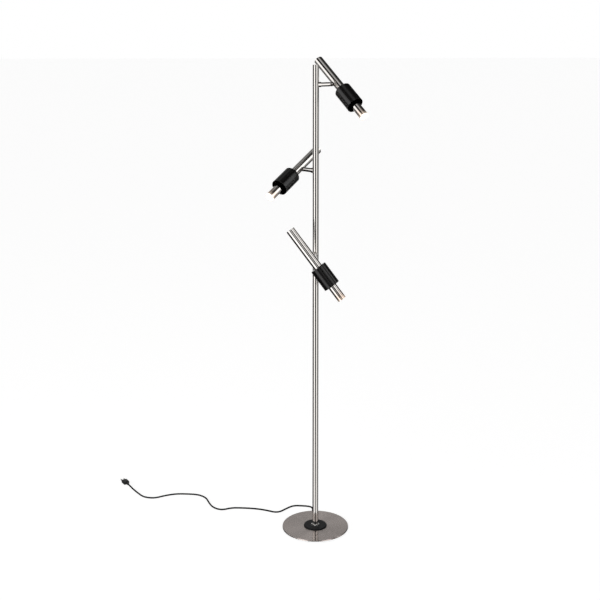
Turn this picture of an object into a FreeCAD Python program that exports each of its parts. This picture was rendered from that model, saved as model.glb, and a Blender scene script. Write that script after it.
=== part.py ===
"""Tree floor lamp: a weighted round base, a slim pole and three adjustable spot heads.

Millimetres, +Z up.  The origin is the centre of the base's underside, on the floor.
X runs to the right and Y away from the viewer who faces the lamp.
"""
import FreeCAD, Part
import Sketcher
import math
import os

Vector = FreeCAD.Vector
Rotation = FreeCAD.Rotation
Placement = FreeCAD.Placement

# ---------------------------------------------------------------- driving dimensions

SIZES = [
    # base
    ("base_diameter", 250, "outer diameter of the brushed cover"),
    ("cover_sheet", 1, "sheet thickness of the cover"),
    ("cover_depth", 5, "height of the cover's turned-down rim"),
    ("cover_edge_radius", 1.2, "rounding of the cover's top edge"),
    ("pad_thickness", 2, "foam pad under the base"),
    ("pad_inset", 9, "pad and lower weight stand this far inside the rim"),
    ("weight_thickness", 6, "cast weight inside the base"),
    ("lead_slot_width", 7, "radial channel for the mains lead in the weight"),
    ("foot_opening", 28, "hole through cover and weight under the pole"),
    # centre disc, foot and flange ring
    ("disc_diameter", 87, "black disc at the centre of the base"),
    ("disc_thickness", 4, "height of the black disc"),
    ("disc_chamfer", 1.6, "bevel round the black disc"),
    ("foot_flange_diameter", 52, "steel flange that the pole stands on"),
    ("foot_flange_thickness", 3, "thickness of that flange"),
    ("foot_bore", 14, "hole up through the foot for the lead"),
    ("foot_funnel", 1, "the hole's funnel ends this far above the flange"),
    ("foot_spigot_length", 60, "spigot that reaches up into the pole"),
    ("ring_diameter", 32, "bright ring round the pole's foot"),
    ("ring_height", 4.2, "height of the bright ring"),
    ("ring_edge", 1.2, "straight part of the ring's side"),
    ("ring_bevel", 3.3, "bevel between the ring's side and its top"),
    ("screw_diameter", 5, "the three screws that hold the foot"),
    ("screw_head_diameter", 9, "their cylindrical heads"),
    ("screw_head_height", 2.6, "height of those heads"),
    ("screw_circle", 40, "diameter of the circle they stand on"),
    # pole
    ("pole_diameter", 22, "outer diameter of the pole tube"),
    ("pole_wall", 1.2, "wall of the pole tube"),
    ("pole_height", 1732, "floor to the top of the pole's cap"),
    ("upper_tube_length", 869, "upper pole tube, from the joint to the cap"),
    ("coupler_length", 80, "sleeve inside that joint"),
    ("coupler_bore", 15, "hole through the sleeve"),
    ("cap_thickness", 3, "visible disc of the pole's top cap"),
    ("cap_plug", 8, "plug of that cap inside the pole"),
    ("fit_gap", 0.1, "radial gap of a plug or sleeve in its tube"),
    ("clear_gap", 0.3, "gap between parts that only lie beside each other"),
    # the three tiers of arms
    ("top_arm_drop", 67, "top of the pole down to the top arm's axis"),
    ("tier_spacing", 296.5, "height from one arm to the next"),
    ("top_arm_azimuth", 20, "direction of the top arm, from +X towards +Y"),
    ("tier_turn", 120, "turn from one arm to the next one down"),
    ("bush_diameter", 18, "swivel bush outside the pole"),
    ("bush_length", 7, "bush from the pole's surface to its outer face"),
    ("shank_diameter", 12, "bush's shank through the pole's wall"),
    ("shank_inside", 1.8, "shank's reach inside the pole's bore"),
    ("spigot_diameter", 8, "arm's spigot in the bush"),
    ("swivel_gap", 0.05, "radial running gap of spigot and screw"),
    ("face_gap", 0.05, "gap between flat faces that turn on each other"),
    ("washer_thickness", 0.5, "spring washer on the spigot"),
    ("nut_diameter", 11.2, "slotted nut and washer on the spigot"),
    ("nut_height", 3, "height of that nut"),
    ("spigot_end", 0.3, "spigot's reach past its nut"),
    ("stem_diameter", 15, "arm between bush and head"),
    ("stem_length", 33.5, "round part of the arm, from the bush's face"),
    ("stem_chamfer", 0.8, "bevel round the arm's outer end"),
    ("stem_bore", 4.4, "lead hole along the arm"),
    ("knuckle_height", 10, "height of the arm's tongue and of the knuckle's fork"),
    ("knuckle_width", 11, "width of the fork over both cheeks"),
    ("tongue_thickness", 4.4, "thickness of the arm's tongue"),
    ("tongue_gap", 0.15, "gap between the tongue and each cheek"),
    ("knuckle_gap", 0.5, "gap from the fork's round end to the arm"),
    ("tilt_screw_diameter", 4, "cross screw that the head tilts on"),
    ("tilt_head_diameter", 7, "head of the cross screw"),
    ("tilt_head_height", 1.6, "height of that head"),
    ("driver_slot", 0.9, "width and depth of the slot in the screw's head"),
    ("knuckle_reach", 7, "tilt screw's axis to the head tube's surface"),
    ("stub_diameter", 8, "threaded stub of the knuckle in the head tube"),
    ("stub_nut_diameter", 13, "nut on that stub"),
    ("stub_nut_height", 3, "height of that nut"),
    # heads
    ("tube_diameter", 32, "head tube"),
    ("tube_wall", 1.2, "wall of the head tube"),
    ("head_length", 304, "whole length of a head, end cap included"),
    ("mount_distance", 125, "upper end to the knuckle's axis"),
    ("tube_cap_thickness", 1.5, "visible disc of the head's end cap"),
    ("tube_cap_plug", 8, "plug of that cap inside the tube"),
    ("tube_cap_bevel", 0.6, "bevel round that cap"),
    ("collar_diameter", 60, "black collar"),
    ("collar_wall", 1.5, "wall of the collar"),
    ("collar_start", 163, "upper end of the head to the collar's closed end"),
    ("collar_length", 82, "length of the collar"),
    ("collar_web", 5, "closed end of the collar"),
    ("collar_edge_radius", 2.6, "rounding of the collar's closed edge"),
    ("heatsink_length", 34, "aluminium core behind the light"),
    ("heatsink_bore", 6, "lead hole in that core"),
    ("board_diameter", 26, "round light board"),
    ("board_thickness", 1.6, "thickness of the board"),
    ("lens_thickness", 3, "frosted lens"),
    ("lens_recess", 2, "lens's face lies this far inside the rim"),
    ("lens_space", 1.2, "air between board and lens"),
    ("driver_start", 20, "upper end of the head to the driver"),
    ("driver_length", 75, "potted driver in the upper tube"),
    ("driver_bevel", 2, "bevel round the driver's ends"),
    # how the heads are turned, as they stand in the photograph
    ("swivel_top", -53.5, "turn of the top head about its arm, from hanging down"),
    ("swivel_middle", 63.8, "the same for the middle head"),
    ("swivel_bottom", 37.7, "the same for the bottom head"),
    ("tilt_top", 15, "tilt of the top head's lower end away from the pole"),
    ("tilt_middle", -2.7, "the same for the middle head"),
    ("tilt_bottom", 1.1, "the same for the bottom head"),
    # mains lead
    ("lead_diameter", 6.4, "round black mains lead"),
    ("inner_lead_diameter", 5.2, "thinner lead inside base and pole"),
    ("lead_exit_azimuth", 94, "direction in which the lead leaves the base"),
    ("lead_bend_radius", 17, "bend of the lead from the base up into the pole"),
    ("gland_inside", 7, "gland's length inside the rim"),
    ("gland_outside", 17, "tapered part of the gland outside the rim"),
    ("gland_shoulder", 9, "gland's shoulder outside the rim"),
    ("gland_lip", 2, "straight part of that shoulder"),
    ("gland_neck", 1, "gland's or plug's thin end, wider than the lead by this much"),
    ("plug_length", 30, "body of the plug"),
    ("plug_width", 24, "widest part of the plug"),
    ("plug_height", 14, "thickness of the plug"),
    ("plug_tail_length", 16, "tapered tail that holds the lead"),
    ("pin_length", 17, "the plug's two flat pins"),
    ("pin_width", 6.4, "width of a pin"),
    ("pin_thickness", 1.5, "thickness of a pin"),
    ("pin_spacing", 12.7, "distance between the pins"),
]

TIERS = ("top", "middle", "bottom")

# The foot's screws: how many, and the turn from the lead's exit to the first.
SCREW_COUNT = 3
FIRST_SCREW = 60

doc = FreeCAD.newDocument("TreeFloorLamp")
sheet = doc.addObject("Spreadsheet::Sheet", "Sizes")
for row, (alias, value, meaning) in enumerate(SIZES, start=1):
    sheet.set("A%d" % row, alias)
    sheet.set("B%d" % row, str(value))
    sheet.set("C%d" % row, meaning)
    sheet.setAlias("B%d" % row, alias)
doc.recompute()


def size(alias):
    """Value of a driving dimension."""
    return float(getattr(sheet, alias))


NODES = {}


def node(name, thing):
    """Name a finished sub-part; each one becomes a file of its own."""
    thing.Label = name
    NODES[name] = thing
    return thing


# ---------------------------------------------------------------- drawing helpers

# A sketch's points start out on a small ring or spot away from both axes. Where they
# start doesn't matter, because constraints then move every one of them.
START_SPOT = Vector(40, 40, 0)
START_RING = 20


def origin_plane(body, role):
    return next(item for item in body.Origin.OriginFeatures if item.Role == role)


def new_sketch(body, name, role):
    sketch = body.newObject("Sketcher::SketchObject", name)
    sketch.AttachmentSupport = [(origin_plane(body, role), "")]
    sketch.MapMode = "FlatFace"
    return sketch


def outline(body, name, role, corners):
    """Closed sketch whose corners are pairs of expressions."""
    sketch = new_sketch(body, name, role)
    count = len(corners)
    start = []
    for index in range(count):
        turn = 2 * math.pi * index / count
        start.append(START_SPOT + Vector(math.cos(turn), math.sin(turn), 0) * START_RING)
    for index in range(count):
        sketch.addGeometry(Part.LineSegment(start[index], start[(index + 1) % count]), False)
    for index in range(count):
        sketch.addConstraint(Sketcher.Constraint("Coincident", index, 2, (index + 1) % count, 1))
    for index, (across, up) in enumerate(corners):
        bind_point(sketch, index, 1, start[index], across, up)
    return sketch


def bind_point(sketch, geometry, end, start, across, up):
    """Hold one point of a sketch at two expressions, measured from the origin."""
    for kind, value, expression in (("DistanceX", start.x, across), ("DistanceY", start.y, up)):
        held = sketch.addConstraint(Sketcher.Constraint(kind, -1, 1, geometry, end, value))
        sketch.setExpression("Constraints[%d]" % held, expression)


def circle_sketch(body, name, role, across, up, radius):
    """Sketch of one circle; its centre and radius are expressions."""
    sketch = new_sketch(body, name, role)
    sketch.addGeometry(Part.Circle(START_SPOT, Vector(0, 0, 1), START_RING), False)
    bind_point(sketch, 0, 3, START_SPOT, across, up)
    held = sketch.addConstraint(Sketcher.Constraint("Radius", 0, START_RING))
    sketch.setExpression("Constraints[%d]" % held, radius)
    return sketch


def turned(name, corners):
    """Body turned about its Z axis; corners are (radius, height) expressions."""
    body = doc.addObject("PartDesign::Body", name)
    sketch = outline(body, name + "_outline", "XZ_Plane", corners)
    revolution = body.newObject("PartDesign::Revolution", name + "_turned")
    revolution.Profile = sketch
    revolution.ReferenceAxis = (sketch, ["V_Axis"])
    revolution.Angle = 360
    doc.recompute()
    return body


def pocket(body, name, sketch, towards_normal, length=None):
    """Cut the sketch out of the body, right through or to a length."""
    before = body.Shape.Volume
    feature = body.newObject("PartDesign::Pocket", name)
    feature.Profile = sketch
    feature.Reversed = towards_normal
    if length is None:
        feature.Type = "ThroughAll"
    else:
        feature.Type = "Length"
        feature.setExpression("Length", length)
    doc.recompute()
    if feature.Shape.Volume > before - 0.01:
        raise RuntimeError("the pocket %s cuts nothing" % name)
    return feature


def repeat_round(body, name, features, count):
    """Repeat features round the body's Z axis and make that the body's tip."""
    pattern = body.newObject("PartDesign::PolarPattern", name)
    pattern.Originals = features
    pattern.Axis = (features[0].Profile[0], ["N_Axis"])
    pattern.Angle = 360
    pattern.Occurrences = count
    body.Tip = pattern
    doc.recompute()
    return pattern


def edges_at(shape, radius, height):
    """Names of the circular edges of this radius, centred on Z at this height."""
    found = []
    for index, edge in enumerate(shape.Edges, start=1):
        curve = edge.Curve
        if not isinstance(curve, Part.Circle):
            continue
        if abs(curve.Radius - radius) < 1e-4 and abs(curve.Center.z - height) < 1e-4:
            found.append("Edge%d" % index)
    return found


def round_edge(body, name, radius_at, height_at, rounding):
    """Fillet the circular edge at a radius and height; rounding is an expression."""
    base = body.Tip
    fillet = body.newObject("PartDesign::Fillet", name)
    fillet.Base = (base, edges_at(base.Shape, radius_at, height_at))
    fillet.setExpression("Radius", rounding)
    doc.recompute()
    return fillet


def cylinder(name, radius, height, axis="Z", x="0", y="0", z="0"):
    """Part cylinder along an axis from a base point; all sizes are expressions."""
    thing = doc.addObject("Part::Cylinder", name)
    thing.setExpression("Radius", radius)
    thing.setExpression("Height", height)
    thing.Placement = Placement(Vector(), Rotation(Vector(0, 0, 1), AXES[axis]))
    bind_base(thing, x, y, z)
    return thing


AXES = {"X": Vector(1, 0, 0), "Y": Vector(0, 1, 0), "Z": Vector(0, 0, 1)}


def box(name, length, width, height, x, y, z):
    """Part box from its lowest corner; all sizes are expressions."""
    thing = doc.addObject("Part::Box", name)
    thing.setExpression("Length", length)
    thing.setExpression("Width", width)
    thing.setExpression("Height", height)
    bind_base(thing, x, y, z)
    return thing


def bind_base(thing, x, y, z):
    """Bind the coordinates of a base point, but leave alone each one that stays at 0."""
    for letter, expression in zip("xyz", (x, y, z)):
        if expression != "0":
            thing.setExpression("Placement.Base." + letter, expression)


def joined(name, things):
    fuse = doc.addObject("Part::MultiFuse", name)
    fuse.Shapes = things
    return fuse


def cut(name, base, *tools):
    result = doc.addObject("Part::Cut", name)
    result.Base = base
    result.Tool = tools[0] if len(tools) == 1 else joined(name + "_tools", list(tools))
    return result


# ---------------------------------------------------------------- shared expressions

BASE_RADIUS = "Sizes.base_diameter / 2"
WEIGHT_TOP = "(Sizes.pad_thickness + Sizes.weight_thickness)"
COVER_TOP = "(Sizes.pad_thickness + Sizes.weight_thickness + Sizes.cover_sheet)"
RIM_BOTTOM = "(%s - Sizes.cover_depth)" % COVER_TOP
FLANGE_TOP = "(%s + Sizes.foot_flange_thickness)" % COVER_TOP
DISC_TOP = "(%s + Sizes.disc_thickness)" % COVER_TOP
POLE_RADIUS = "Sizes.pole_diameter / 2"
POLE_BORE = "(Sizes.pole_diameter / 2 - Sizes.pole_wall)"
TUBE_TOP = "(Sizes.pole_height - Sizes.cap_thickness)"
JOINT_HEIGHT = "(%s - Sizes.upper_tube_length)" % TUBE_TOP
FOOT_OPENING = "Sizes.foot_opening / 2"
TUBE_RADIUS = "Sizes.tube_diameter / 2"
TUBE_BORE = "(Sizes.tube_diameter / 2 - Sizes.tube_wall)"
SCREW_ACROSS = "Sizes.screw_circle / 2 * cos(%d deg)" % FIRST_SCREW
SCREW_ALONG = "Sizes.screw_circle / 2 * sin(%d deg)" % FIRST_SCREW


# ---------------------------------------------------------------- base


def make_pad():
    pad = doc.addObject("Part::Cylinder", "base_pad_disc")
    pad.setExpression("Radius", BASE_RADIUS + " - Sizes.pad_inset")
    pad.setExpression("Height", "Sizes.pad_thickness")
    node("base_pad", pad)


def turn_to_exit(thing):
    """Turn a base part whose lead slot lies along its own +X to the lead's exit."""
    thing.setExpression("Placement.Rotation.Angle", "Sizes.lead_exit_azimuth")


def make_weight():
    """Stepped cast disc with a radial channel for the lead."""
    inner = FOOT_OPENING
    narrow = BASE_RADIUS + " - Sizes.pad_inset"
    wide = BASE_RADIUS + " - Sizes.cover_sheet - Sizes.clear_gap"
    step = RIM_BOTTOM + " + Sizes.clear_gap"
    body = turned("base_weight_body", [
        (inner, "Sizes.pad_thickness"),
        (narrow, "Sizes.pad_thickness"),
        (narrow, step),
        (wide, step),
        (wide, WEIGHT_TOP),
        (inner, WEIGHT_TOP),
    ])
    half = "Sizes.lead_slot_width / 2"
    slot = outline(body, "base_weight_slot", "YZ_Plane", [
        ("-" + half, "0"),
        (half, "0"),
        (half, WEIGHT_TOP + " + 1"),
        ("-" + half, WEIGHT_TOP + " + 1"),
    ])
    pocket(body, "base_weight_channel", slot, True)
    hole = circle_sketch(body, "base_weight_hole", "XY_Plane", SCREW_ACROSS, SCREW_ALONG,
                         "Sizes.screw_diameter / 2 + Sizes.fit_gap")
    shaft = pocket(body, "base_weight_screw_hole", hole, True)
    head = circle_sketch(body, "base_weight_head", "XY_Plane", SCREW_ACROSS, SCREW_ALONG,
                         "Sizes.screw_head_diameter / 2 + Sizes.clear_gap")
    sink = pocket(body, "base_weight_counterbore", head, True,
                  "Sizes.pad_thickness + Sizes.screw_head_height")
    repeat_round(body, "base_weight_screws", [shaft, sink], SCREW_COUNT)
    turn_to_exit(body)
    node("base_weight", body)


def make_cover():
    """Spun sheet with a turned-down rim, notched where the gland comes out."""
    inner = FOOT_OPENING
    outer = BASE_RADIUS
    inside = BASE_RADIUS + " - Sizes.cover_sheet"
    body = turned("base_cover_body", [
        (inner, WEIGHT_TOP),
        (inside, WEIGHT_TOP),
        (inside, RIM_BOTTOM),
        (outer, RIM_BOTTOM),
        (outer, COVER_TOP),
        (inner, COVER_TOP),
    ])
    top = size("pad_thickness") + size("weight_thickness") + size("cover_sheet")
    round_edge(body, "base_cover_edge", size("base_diameter") / 2, top, "Sizes.cover_edge_radius")
    half = "Sizes.lead_slot_width / 2"
    notch = outline(body, "base_cover_notch", "YZ_Plane", [
        ("-" + half, "0"),
        (half, "0"),
        (half, WEIGHT_TOP),
        ("-" + half, WEIGHT_TOP),
    ])
    pocket(body, "base_cover_opening", notch, True)
    hole = circle_sketch(body, "base_cover_hole", "XY_Plane", SCREW_ACROSS, SCREW_ALONG,
                         "Sizes.screw_diameter / 2 + Sizes.fit_gap")
    shaft = pocket(body, "base_cover_screw_hole", hole, True)
    repeat_round(body, "base_cover_screws", [shaft], SCREW_COUNT)
    turn_to_exit(body)
    node("base_cover", body)


def make_disc():
    """Black disc that hides the foot's flange."""
    outer = "Sizes.disc_diameter / 2"
    hollow = "Sizes.foot_flange_diameter / 2 + Sizes.clear_gap"
    hole = POLE_RADIUS + " + Sizes.clear_gap"
    ceiling = FLANGE_TOP + " + Sizes.fit_gap"
    body = turned("base_disc_body", [
        (hollow, COVER_TOP),
        (outer, COVER_TOP),
        (outer, DISC_TOP + " - Sizes.disc_chamfer"),
        (outer + " - Sizes.disc_chamfer", DISC_TOP),
        (hole, DISC_TOP),
        (hole, ceiling),
        (hollow, ceiling),
    ])
    node("base_disc", body)


def make_foot():
    """Steel flange with a spigot that the pole slides over."""
    bore = "Sizes.foot_bore / 2"
    funnel = FLANGE_TOP + " + Sizes.foot_funnel"
    rim = "Sizes.foot_flange_diameter / 2"
    spigot = POLE_BORE + " - Sizes.fit_gap"
    spigot_top = FLANGE_TOP + " + Sizes.foot_spigot_length"
    body = turned("pole_foot_body", [
        (FOOT_OPENING, COVER_TOP),
        (rim, COVER_TOP),
        (rim, FLANGE_TOP),
        (spigot, FLANGE_TOP),
        (spigot, spigot_top),
        (bore, spigot_top),
        (bore, funnel),
    ])
    hole = circle_sketch(body, "pole_foot_hole", "XY_Plane", SCREW_ACROSS, SCREW_ALONG,
                         "Sizes.screw_diameter / 2")
    shaft = pocket(body, "pole_foot_screw_hole", hole, True, FLANGE_TOP)
    repeat_round(body, "pole_foot_screws", [shaft], SCREW_COUNT)
    turn_to_exit(body)
    node("pole_foot", body)


def make_foot_screws():
    """Three screws from below, through weight and cover into the foot's flange."""
    screws = []
    for index in range(SCREW_COUNT):
        name = "foot_screw_%d" % (index + 1)
        head = cylinder(name + "_head", "Sizes.screw_head_diameter / 2",
                        "Sizes.screw_head_height", z="Sizes.pad_thickness")
        shaft = cylinder(name + "_shaft", "Sizes.screw_diameter / 2",
                         FLANGE_TOP + " - Sizes.pad_thickness", z="Sizes.pad_thickness")
        screw = joined(name, [head, shaft])
        turn = "Sizes.lead_exit_azimuth + %g" % (FIRST_SCREW + 360 / SCREW_COUNT * index)
        bind_base(screw, "Sizes.screw_circle / 2 * cos(%s)" % turn,
                  "Sizes.screw_circle / 2 * sin(%s)" % turn, "0")
        screws.append(screw)
    compound = doc.addObject("Part::Compound", "foot_screws_set")
    compound.Links = screws
    node("foot_screws", compound)


def make_ring():
    """Bright bevelled ring round the pole's foot."""
    hole = POLE_RADIUS + " + Sizes.fit_gap"
    outer = "Sizes.ring_diameter / 2"
    body = turned("pole_ring_body", [
        (hole, "0"),
        (outer, "0"),
        (outer, "Sizes.ring_edge"),
        (outer + " - Sizes.ring_bevel", "Sizes.ring_height"),
        (hole, "Sizes.ring_height"),
    ])
    body.setExpression("Placement.Base.z", DISC_TOP)
    node("pole_ring", body)


# ---------------------------------------------------------------- pole


def make_lower_pole():
    body = turned("pole_lower_body", [
        (POLE_BORE, FLANGE_TOP),
        (POLE_RADIUS, FLANGE_TOP),
        (POLE_RADIUS, JOINT_HEIGHT),
        (POLE_BORE, JOINT_HEIGHT),
    ])
    node("pole_lower", body)


def make_coupler():
    body = turned("pole_coupler_body", [
        ("Sizes.coupler_bore / 2", "0"),
        (POLE_BORE + " - Sizes.fit_gap", "0"),
        (POLE_BORE + " - Sizes.fit_gap", "Sizes.coupler_length"),
        ("Sizes.coupler_bore / 2", "Sizes.coupler_length"),
    ])
    body.setExpression("Placement.Base.z", JOINT_HEIGHT + " - Sizes.coupler_length / 2")
    node("pole_coupler", body)


def make_upper_pole():
    """Upper tube with one hole in its wall for each arm's bush."""
    body = turned("pole_upper_tube", [
        (POLE_BORE, JOINT_HEIGHT),
        (POLE_RADIUS, JOINT_HEIGHT),
        (POLE_RADIUS, TUBE_TOP),
        (POLE_BORE, TUBE_TOP),
    ])
    drills = []
    for index, tier in enumerate(TIERS):
        drill = cylinder("pole_drill_" + tier, "Sizes.shank_diameter / 2", "Sizes.pole_diameter")
        drill.Placement = arm_placement(index, 0)
        drills.append(drill)
    node("pole_upper", cut("pole_upper_drilled", body, *drills))


def make_pole_cap():
    plug = POLE_BORE + " - Sizes.fit_gap"
    body = turned("pole_cap_body", [
        ("0", "0"),
        (plug, "0"),
        (plug, "Sizes.cap_plug"),
        (POLE_RADIUS, "Sizes.cap_plug"),
        (POLE_RADIUS, "Sizes.cap_plug + Sizes.cap_thickness - Sizes.tube_cap_bevel"),
        (POLE_RADIUS + " - Sizes.tube_cap_bevel", "Sizes.cap_plug + Sizes.cap_thickness"),
        ("0", "Sizes.cap_plug + Sizes.cap_thickness"),
    ])
    body.setExpression("Placement.Base.z", TUBE_TOP + " - Sizes.cap_plug")
    node("pole_cap", body)


# ---------------------------------------------------------------- arms and heads in place


def arm_height(index):
    return size("pole_height") - size("top_arm_drop") - index * size("tier_spacing")


def arm_axis(index):
    """Unit vector from the pole along an arm."""
    azimuth = math.radians(size("top_arm_azimuth") + index * size("tier_turn"))
    return Vector(math.cos(azimuth), math.sin(azimuth), 0)


def arm_placement(index, swivel):
    """Frame of an arm: Z along the arm, X towards the head's lower end, on the pole's axis."""
    axis = arm_axis(index)
    down = Vector(0, 0, -1)
    turn = math.radians(swivel)
    lower = down * math.cos(turn) + axis.cross(down) * math.sin(turn)
    return frame(Vector(0, 0, arm_height(index)), lower, axis.cross(lower), axis)


def head_placement(index, swivel, tilt):
    """Frame of a head: Z along its tube from the upper end, X away from the pole."""
    arm = arm_placement(index, swivel)
    axis = arm.Rotation.multVec(AXES["Z"])
    lower = arm.Rotation.multVec(AXES["X"])
    turn = math.radians(tilt)
    along = lower * math.cos(turn) + axis * math.sin(turn)
    outward = axis * math.cos(turn) - lower * math.sin(turn)
    pivot = arm.Base + axis * tilt_radius()
    reach = size("knuckle_reach") + size("tube_diameter") / 2
    base = pivot + outward * reach - along * size("mount_distance")
    return frame(base, outward, along.cross(outward), along)


def tilt_radius():
    """Pole's axis to the tilt screw's axis."""
    shoulder = size("pole_diameter") / 2 + size("bush_length") + size("stem_length")
    return shoulder + size("knuckle_gap") + size("knuckle_height") / 2


def frame(base, x_axis, y_axis, z_axis):
    matrix = FreeCAD.Matrix(
        x_axis.x, y_axis.x, z_axis.x, base.x,
        x_axis.y, y_axis.y, z_axis.y, base.y,
        x_axis.z, y_axis.z, z_axis.z, base.z,
        0, 0, 0, 1)
    return Placement(matrix)


# ---------------------------------------------------------------- swivel parts

BUSH_FACE = "(Sizes.pole_diameter / 2 + Sizes.bush_length)"
SHANK_END = "(%s - Sizes.shank_inside)" % POLE_BORE
WASHER_BOTTOM = "(%s - Sizes.washer_thickness)" % SHANK_END
NUT_TOP = "(%s - Sizes.face_gap)" % WASHER_BOTTOM
NUT_BOTTOM = "(%s - Sizes.nut_height)" % NUT_TOP
SPIGOT_BOTTOM = "(%s - Sizes.spigot_end)" % NUT_BOTTOM
STEM_FACE = "(%s + Sizes.face_gap)" % BUSH_FACE
SHOULDER = "(%s + Sizes.stem_length)" % BUSH_FACE
TILT_AXIS = "(%s + Sizes.knuckle_gap + Sizes.knuckle_height / 2)" % SHOULDER
SPIGOT_HOLE = "Sizes.spigot_diameter / 2 + Sizes.swivel_gap"
STEM_RADIUS = "Sizes.stem_diameter / 2"


def make_bush(tier):
    """Swivel bush, saddled to the pole, with a shank through the pole's wall."""
    name = "swivel_bush_" + tier
    barrel = cylinder(name + "_barrel", "Sizes.bush_diameter / 2", BUSH_FACE)
    pole = cylinder(name + "_saddle", POLE_RADIUS, "Sizes.bush_diameter * 2",
                    axis="X", x="-Sizes.bush_diameter")
    head = cut(name + "_head", barrel, pole)
    shank = cylinder(name + "_shank", "Sizes.shank_diameter / 2",
                     BUSH_FACE + " - " + SHANK_END, z=SHANK_END)
    bore = cylinder(name + "_bore", SPIGOT_HOLE, BUSH_FACE + " + 1")
    return node(name, cut(name + "_bored", joined(name + "_solid", [head, shank]), bore))


def make_washer(tier):
    name = "thrust_washer_" + tier
    disc = cylinder(name + "_disc", "Sizes.nut_diameter / 2", "Sizes.washer_thickness",
                    z=WASHER_BOTTOM)
    bore = cylinder(name + "_bore", SPIGOT_HOLE, BUSH_FACE)
    return node(name, cut(name + "_ring", disc, bore))


def make_arm_nut(tier):
    name = "arm_nut_" + tier
    disc = cylinder(name + "_disc", "Sizes.nut_diameter / 2", "Sizes.nut_height", z=NUT_BOTTOM)
    bore = cylinder(name + "_bore", "Sizes.spigot_diameter / 2", BUSH_FACE)
    return node(name, cut(name + "_ring", disc, bore))


def make_stem(tier):
    """Arm: spigot, round stem and a flat tongue with a round eye for the tilt screw."""
    name = "arm_stem_" + tier
    barrel = turned(name + "_barrel", [
        ("Sizes.stem_bore / 2", SPIGOT_BOTTOM),
        ("Sizes.spigot_diameter / 2", SPIGOT_BOTTOM),
        ("Sizes.spigot_diameter / 2", STEM_FACE),
        (STEM_RADIUS, STEM_FACE),
        (STEM_RADIUS, SHOULDER + " - Sizes.stem_chamfer"),
        (STEM_RADIUS + " - Sizes.stem_chamfer", SHOULDER),
        ("Sizes.stem_bore / 2", SHOULDER),
    ])
    tongue = box(name + "_tongue", "Sizes.knuckle_height", "Sizes.tongue_thickness",
                 TILT_AXIS + " - " + SHOULDER, "-Sizes.knuckle_height / 2",
                 "-Sizes.tongue_thickness / 2", SHOULDER)
    eye = cylinder(name + "_eye", "Sizes.knuckle_height / 2", "Sizes.tongue_thickness",
                   axis="Y", y="-Sizes.tongue_thickness / 2", z=TILT_AXIS)
    hole = cylinder(name + "_hole", "Sizes.tilt_screw_diameter / 2 + Sizes.swivel_gap",
                    "Sizes.stem_diameter", axis="Y", y="-Sizes.stem_diameter / 2", z=TILT_AXIS)
    solid = joined(name + "_solid", [barrel, tongue, eye])
    return node(name, cut(name + "_bored", solid, hole))


# ---------------------------------------------------------------- head parts

PIVOT_X = "(-Sizes.tube_diameter / 2 - Sizes.knuckle_reach)"
FORK_SLOT = "(Sizes.tongue_thickness + 2 * Sizes.tongue_gap)"
SLOT_FLOOR = "(%s + Sizes.knuckle_height / 2 + Sizes.clear_gap)" % PIVOT_X


def make_knuckle(tier):
    """Fork round the arm's tongue, saddled to the tube, with a threaded stub into it."""
    name = "knuckle_" + tier
    eye = cylinder(name + "_eye", "Sizes.knuckle_height / 2", "Sizes.knuckle_width", axis="Y",
                   x=PIVOT_X, y="-Sizes.knuckle_width / 2", z="Sizes.mount_distance")
    cheeks = box(name + "_cheeks", "-" + PIVOT_X, "Sizes.knuckle_width", "Sizes.knuckle_height",
                 PIVOT_X, "-Sizes.knuckle_width / 2",
                 "Sizes.mount_distance - Sizes.knuckle_height / 2")
    tube = cylinder(name + "_saddle", TUBE_RADIUS, "Sizes.head_length")
    outside = cut(name + "_outside", joined(name + "_block", [eye, cheeks]), tube)
    slot = box(name + "_slot", "Sizes.knuckle_height + Sizes.clear_gap", FORK_SLOT,
               "2 * Sizes.knuckle_height", PIVOT_X + " - Sizes.knuckle_height / 2",
               "-%s / 2" % FORK_SLOT, "Sizes.mount_distance - Sizes.knuckle_height")
    hole = cylinder(name + "_hole", "Sizes.tilt_screw_diameter / 2", "2 * Sizes.knuckle_width",
                    axis="Y", x=PIVOT_X, y="-Sizes.knuckle_width", z="Sizes.mount_distance")
    fork = cut(name + "_fork", outside, slot, hole)
    stub = cylinder(name + "_stub", "Sizes.stub_diameter / 2",
                    "-%s - %s" % (SLOT_FLOOR, STUB_END),
                    axis="X", x=SLOT_FLOOR, z="Sizes.mount_distance")
    return node(name, joined(name + "_solid", [fork, stub]))


def make_tilt_screw(tier):
    """Cross screw, tight in the fork's cheeks, on which the tongue's eye turns."""
    name = "tilt_screw_" + tier
    face = "Sizes.knuckle_width / 2"
    shaft = cylinder(name + "_shaft", "Sizes.tilt_screw_diameter / 2", "Sizes.knuckle_width",
                     axis="Y", x=PIVOT_X, y="-" + face, z="Sizes.mount_distance")
    head = cylinder(name + "_head", "Sizes.tilt_head_diameter / 2", "Sizes.tilt_head_height",
                    axis="Y", x=PIVOT_X, y=face, z="Sizes.mount_distance")
    slot = box(name + "_slot", "Sizes.tilt_head_diameter", "Sizes.driver_slot",
               "Sizes.driver_slot", PIVOT_X + " - Sizes.tilt_head_diameter / 2",
               face + " + Sizes.tilt_head_height - Sizes.driver_slot",
               "Sizes.mount_distance - Sizes.driver_slot / 2")
    return node(name, cut(name + "_slotted", joined(name + "_solid", [shaft, head]), slot))


# The stub's nut lies against the tube's curved bore along its own edge.
STUB_NUT_OUTER = "(sqrt(%s ^ 2 - (Sizes.stub_nut_diameter / 2) ^ 2) - Sizes.fit_gap)" % TUBE_BORE
STUB_END = "(%s - Sizes.stub_nut_height - Sizes.spigot_end)" % STUB_NUT_OUTER


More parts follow.
